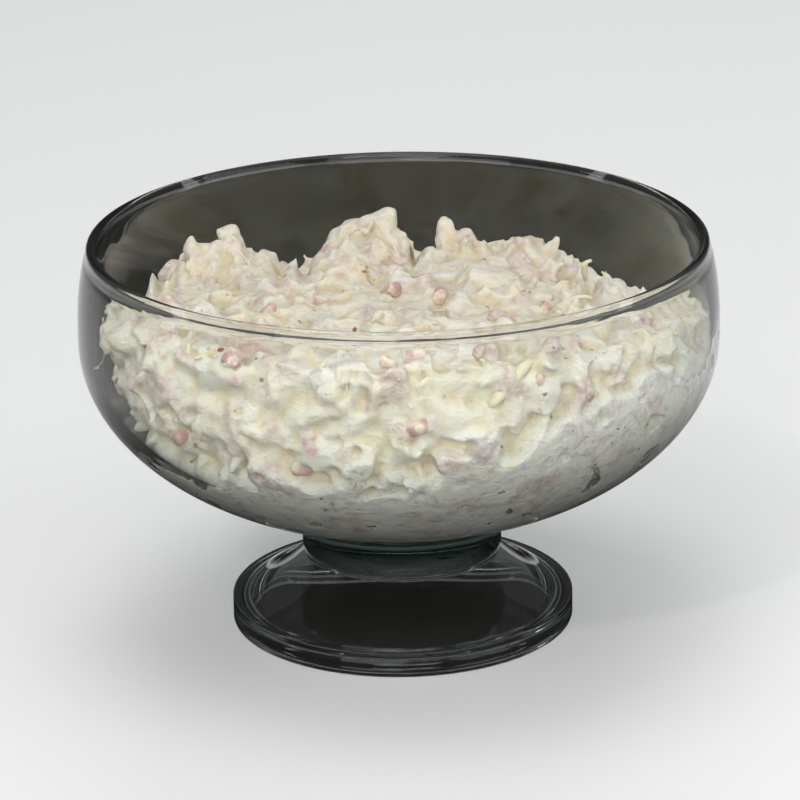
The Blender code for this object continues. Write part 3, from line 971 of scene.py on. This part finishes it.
def noise_in(group, given):
    """Noise over the piece's own coordinates, sized and drawn out by the group's inputs."""
    where = node(group, "TexCoord")
    drawn_out = node(group, "CombineXYZ")
    drawn_out.inputs["X"].default_value = 1.0
    group.links.new(given.outputs["Stretch"], drawn_out.inputs["Y"])
    group.links.new(given.outputs["Stretch"], drawn_out.inputs["Z"])
    placing = node(group, "VectorMath", operation="MULTIPLY")
    group.links.new(where.outputs["Object"], placing.inputs[0])
    group.links.new(drawn_out.outputs["Vector"], placing.inputs[1])
    clouds = node(group, "TexNoise")
    group.links.new(placing.outputs["Vector"], clouds.inputs["Vector"])
    clouds.inputs["Roughness"].default_value = 0.6
    for label in ("Scale", "Detail", "Distortion"):
        group.links.new(given.outputs[label], clouds.inputs[label])
    return clouds.outputs["Fac"]


def placed(tree, group, values):
    """The group put in a material, its inputs set in order."""
    made = tree.nodes.new("ShaderNodeGroup")
    made.node_tree = bpy.data.node_groups[group]
    for socket, value in zip(made.inputs, values):
        socket.default_value = value
    return made.outputs


def smear(tree, *values):
    return placed(tree, "dressing_smear", values)["Mask"]


def value_of(tree, name):
    return node(tree, "Attribute", attribute_name=name).outputs["Fac"]


def bumped(tree, height, strength, distance, under=None):
    bump = node(tree, "Bump")
    bump.inputs["Strength"].default_value = strength
    bump.inputs["Distance"].default_value = distance
    tree.links.new(height, bump.inputs["Height"])
    if under:
        tree.links.new(under, bump.inputs["Normal"])
    return bump.outputs["Normal"]


def moist(shader, weight, scale):
    """A little light carried under the surface, as in wet food."""
    shader.inputs["Subsurface Weight"].default_value = weight
    shader.inputs["Subsurface Radius"].default_value = (1.0, 0.65, 0.4)
    shader.inputs["Subsurface Scale"].default_value = scale


def salad_surface():
    made, tree, shader, _ = new_material("dressed_salad_skin")
    ham = value_of(tree, "ham")
    hollow = value_of(tree, "hollow")
    contact = value_of(tree, "contact")
    patches = smear(tree, 55, 3, 0.8, 1, 0.35, 0.7, 0.6)
    warm = math_node(tree, "ADD", math_node(tree, "MULTIPLY", value_of(tree, "tone"), 0.45), patches)
    cream = mixed(tree, warm, (0.82, 0.80, 0.72), (0.79, 0.72, 0.53))
    # Paler pressed dressing where the skin lies on the glass, partly painted light that lifts this
    # downward-facing skin, which the lamps reach less
    cream = mixed(tree, math_node(tree, "MULTIPLY", contact, 0.8), cream, (0.87, 0.86, 0.80))
    marbling = smear(tree, 170, 4, 0.6, 1.5, 0.4, 0.62, 1)
    meat = mixed(tree, marbling, (0.66, 0.49, 0.45), (0.54, 0.32, 0.33))
    coat = smear(tree, 130, 3, 1.8, 1, 0.38, 0.60, 0.85)
    shown = math_node(tree, "MULTIPLY", ham, math_node(tree, "ADD", coat, 0.15))
    colour = mixed(tree, shown, cream, meat)
    on_glass = smear(tree, 60, 5, 3.0, 1.6, 0.50, 0.68, 0.8)
    colour = mixed(tree, math_node(tree, "MULTIPLY", contact, on_glass), colour, (0.54, 0.48, 0.50))
    colour = mixed(tree, smear(tree, 80, 5, 2.4, 2.2, 0.54, 0.68, 0.55), colour, (0.64, 0.54, 0.56))
    # Painted shade: the colour is darkened and warmed in the skin's hollows, where shade falls
    painted_hollow_shade = mapped(tree, hollow, 0.2, 1.0, 0, 0.6)
    colour = mixed(tree, painted_hollow_shade, colour, (0.86, 0.74, 0.53), "MULTIPLY")
    creases = placed(tree, "moist_grain", (190, 4, 2.0, 1.7, 0.28, 0.50))
    # Oily yellow in the fine creases, and painted shade there: the colour darkens where the grain's
    # relief is low
    crease_oil_and_shade = mapped(tree, creases["Height"], 0.30, 0.48, 0.35, 0.0)
    colour = mixed(tree, crease_oil_and_shade, colour, (0.88, 0.79, 0.60), "MULTIPLY")
    tree.links.new(colour, shader.inputs["Base Color"])
    tree.links.new(creases["Roughness"], shader.inputs["Roughness"])
    moist(shader, 0.3, 2.2 * MM)
    grain = placed(tree, "moist_grain", (700, 3, 0.5, 1.3, 0.3, 0.5))
    relief = bumped(tree, creases["Height"], 0.7, 1.2 * MM)
    tree.links.new(bumped(tree, grain["Height"], 0.4, 0.35 * MM, relief), shader.inputs["Normal"])
    return made


def coated_surface(name):
    """A morsel's own two tones, with dressing smeared over part of it."""
    first, second, coat, grain_scale = MORSEL_LOOKS[name]
    made, tree, shader, _ = new_material(name)
    own = mixed(tree, value_of(tree, "tone"), first, second)
    own = mixed(tree, smear(tree, grain_scale, 4, 0, 1.4, 0.35, 0.65, 0.5), own, second)
    colour = mixed(tree, smear(tree, 140, 3, 1.2, 1, *coat), own, (0.80, 0.74, 0.57))
    tree.links.new(colour, shader.inputs["Base Color"])
    grain = placed(tree, "moist_grain", (grain_scale * 1.6, 3, 0.3, 1, 0.28, 0.5))
    tree.links.new(grain["Roughness"], shader.inputs["Roughness"])
    moist(shader, 0.15, 1.5 * MM)
    tree.links.new(bumped(tree, grain["Height"], 0.4, 0.5 * MM), shader.inputs["Normal"])
    return made


def glass_surface():
    """Clear glass, faintly smoky where it is thick, that lets the lamps' light through."""
    made, tree, shader, output = new_material("clear_glass_polished")
    shader.inputs["Base Color"].default_value = (0.985, 0.99, 0.99, 1.0)
    shader.inputs["Roughness"].default_value = 0.0
    shader.inputs["IOR"].default_value = 1.5
    shader.inputs["Transmission Weight"].default_value = 1.0
    clear = node(tree, "BsdfTransparent")
    clear.inputs["Color"].default_value = (0.94, 0.96, 0.955, 1.0)
    rays = node(tree, "LightPath")
    switch = node(tree, "MixShader")
    tree.links.new(rays.outputs["Is Shadow Ray"], switch.inputs["Fac"])
    tree.links.new(shader.outputs["BSDF"], switch.inputs[1])
    tree.links.new(clear.outputs["BSDF"], switch.inputs[2])
    tree.links.new(switch.outputs["Shader"], output.inputs["Surface"])
    smoke = node(tree, "VolumeAbsorption")
    smoke.inputs["Color"].default_value = (0.74, 0.79, 0.785, 1.0)
    smoke.inputs["Density"].default_value = 60.0
    tree.links.new(smoke.outputs["Volume"], output.inputs["Volume"])
    return made


def stage_surface():
    """A pale matt floor, with painted shade: dark where it is seen through the glass and where its
    foot mirrors it, standing in for a dark room.
    """
    made, tree, shader, _ = new_material("stage_floor")
    rays = node(tree, "LightPath")
    through = math_node(tree, "GREATER_THAN", rays.outputs["Transmission Depth"], 0.5)
    where = node(tree, "TexCoord")
    far = node(tree, "VectorMath", operation="LENGTH")
    tree.links.new(where.outputs["Object"], far.inputs[0])
    near_foot = mapped(tree, far.outputs["Value"], 0.13, 0.30, 1.0, 0.1)
    mirrored = math_node(tree, "MULTIPLY", rays.outputs["Is Glossy Ray"], near_foot)
    by_glass = math_node(tree, "MAXIMUM", through, mirrored)
    # Painted shade and painted reflection: the floor turns dark for rays that come through the glass
    # and for the foot's mirror image of it
    colour = mixed(tree, by_glass, (0.96, 0.96, 0.95), (0.022, 0.021, 0.018))
    tree.links.new(colour, shader.inputs["Base Color"])
    shader.inputs["Roughness"].default_value = 1.0
    shader.inputs["Specular IOR Level"].default_value = 0.0
    return made


# Camera, floor and light

def build_camera():
    data = bpy.data.cameras.new("camera")
    data.sensor_width = 36.0
    data.lens = CAMERA_LENS
    camera = bpy.data.objects.new("camera", data)
    camera.matrix_world = camera_matrix()
    bpy.context.scene.collection.objects.link(camera)
    bpy.context.scene.camera = camera


def build_floor():
    bm = bmesh.new()
    bmesh.ops.create_grid(bm, x_segments=1, y_segments=1, size=8.0)
    floor = linked("floor", mesh_of("floor", bm))
    floor.location.z = -0.2 * MM
    floor.data.materials.append(stage_surface())


def softbox(name, place, width, height, power, colour, mirrored):
    """A soft lamp; one that isn't mirrored lights the object without a patch on the glass."""
    data = bpy.data.lights.new(name, "AREA")
    data.shape = "RECTANGLE"
    data.size = width
    data.size_y = height
    data.energy = power
    data.color = colour
    lamp = bpy.data.objects.new(name, data)
    lamp.location = place
    lamp.rotation_euler = (Vector(LIT_POINT) - Vector(place)).to_track_quat("-Z", "Y").to_euler()
    lamp.visible_glossy = mirrored
    bpy.context.scene.collection.objects.link(lamp)


def build_light():
    """A pale room for the camera, a dimmer one overhead for the glass to mirror, and soft lamps."""
    world = bpy.data.worlds.new("studio")
    world.use_nodes = True
    tree = world.node_tree
    background = tree.nodes["Background"]
    parts = node(tree, "SeparateXYZ")
    tree.links.new(node(tree, "TexCoord").outputs["Generated"], parts.inputs["Vector"])
    overhead = mapped(tree, parts.outputs["Z"], 0.35, 0.95, 0.09, 0.30)
    overhead.node.interpolation_type = "SMOOTHSTEP"
    strength = node(tree, "Mix")
    tree.links.new(node(tree, "LightPath").outputs["Is Camera Ray"], strength.inputs["Factor"])
    tree.links.new(overhead, strength.inputs[2])
    strength.inputs[3].default_value = 0.95
    tree.links.new(strength.outputs[0], background.inputs["Strength"])
    background.inputs["Color"].default_value = (0.96, 0.98, 1.0, 1.0)
    bpy.context.scene.world = world
    bpy.context.scene.view_settings.view_transform = "Standard"
    for lamp in SOFT_LAMPS:
        softbox(*lamp, mirrored=False)
    for lamp in MIRRORED_LAMPS:
        softbox(*lamp, mirrored=True)


build_camera()
build_floor()
build_light()
build_groups()
build_glass()
build_salad()
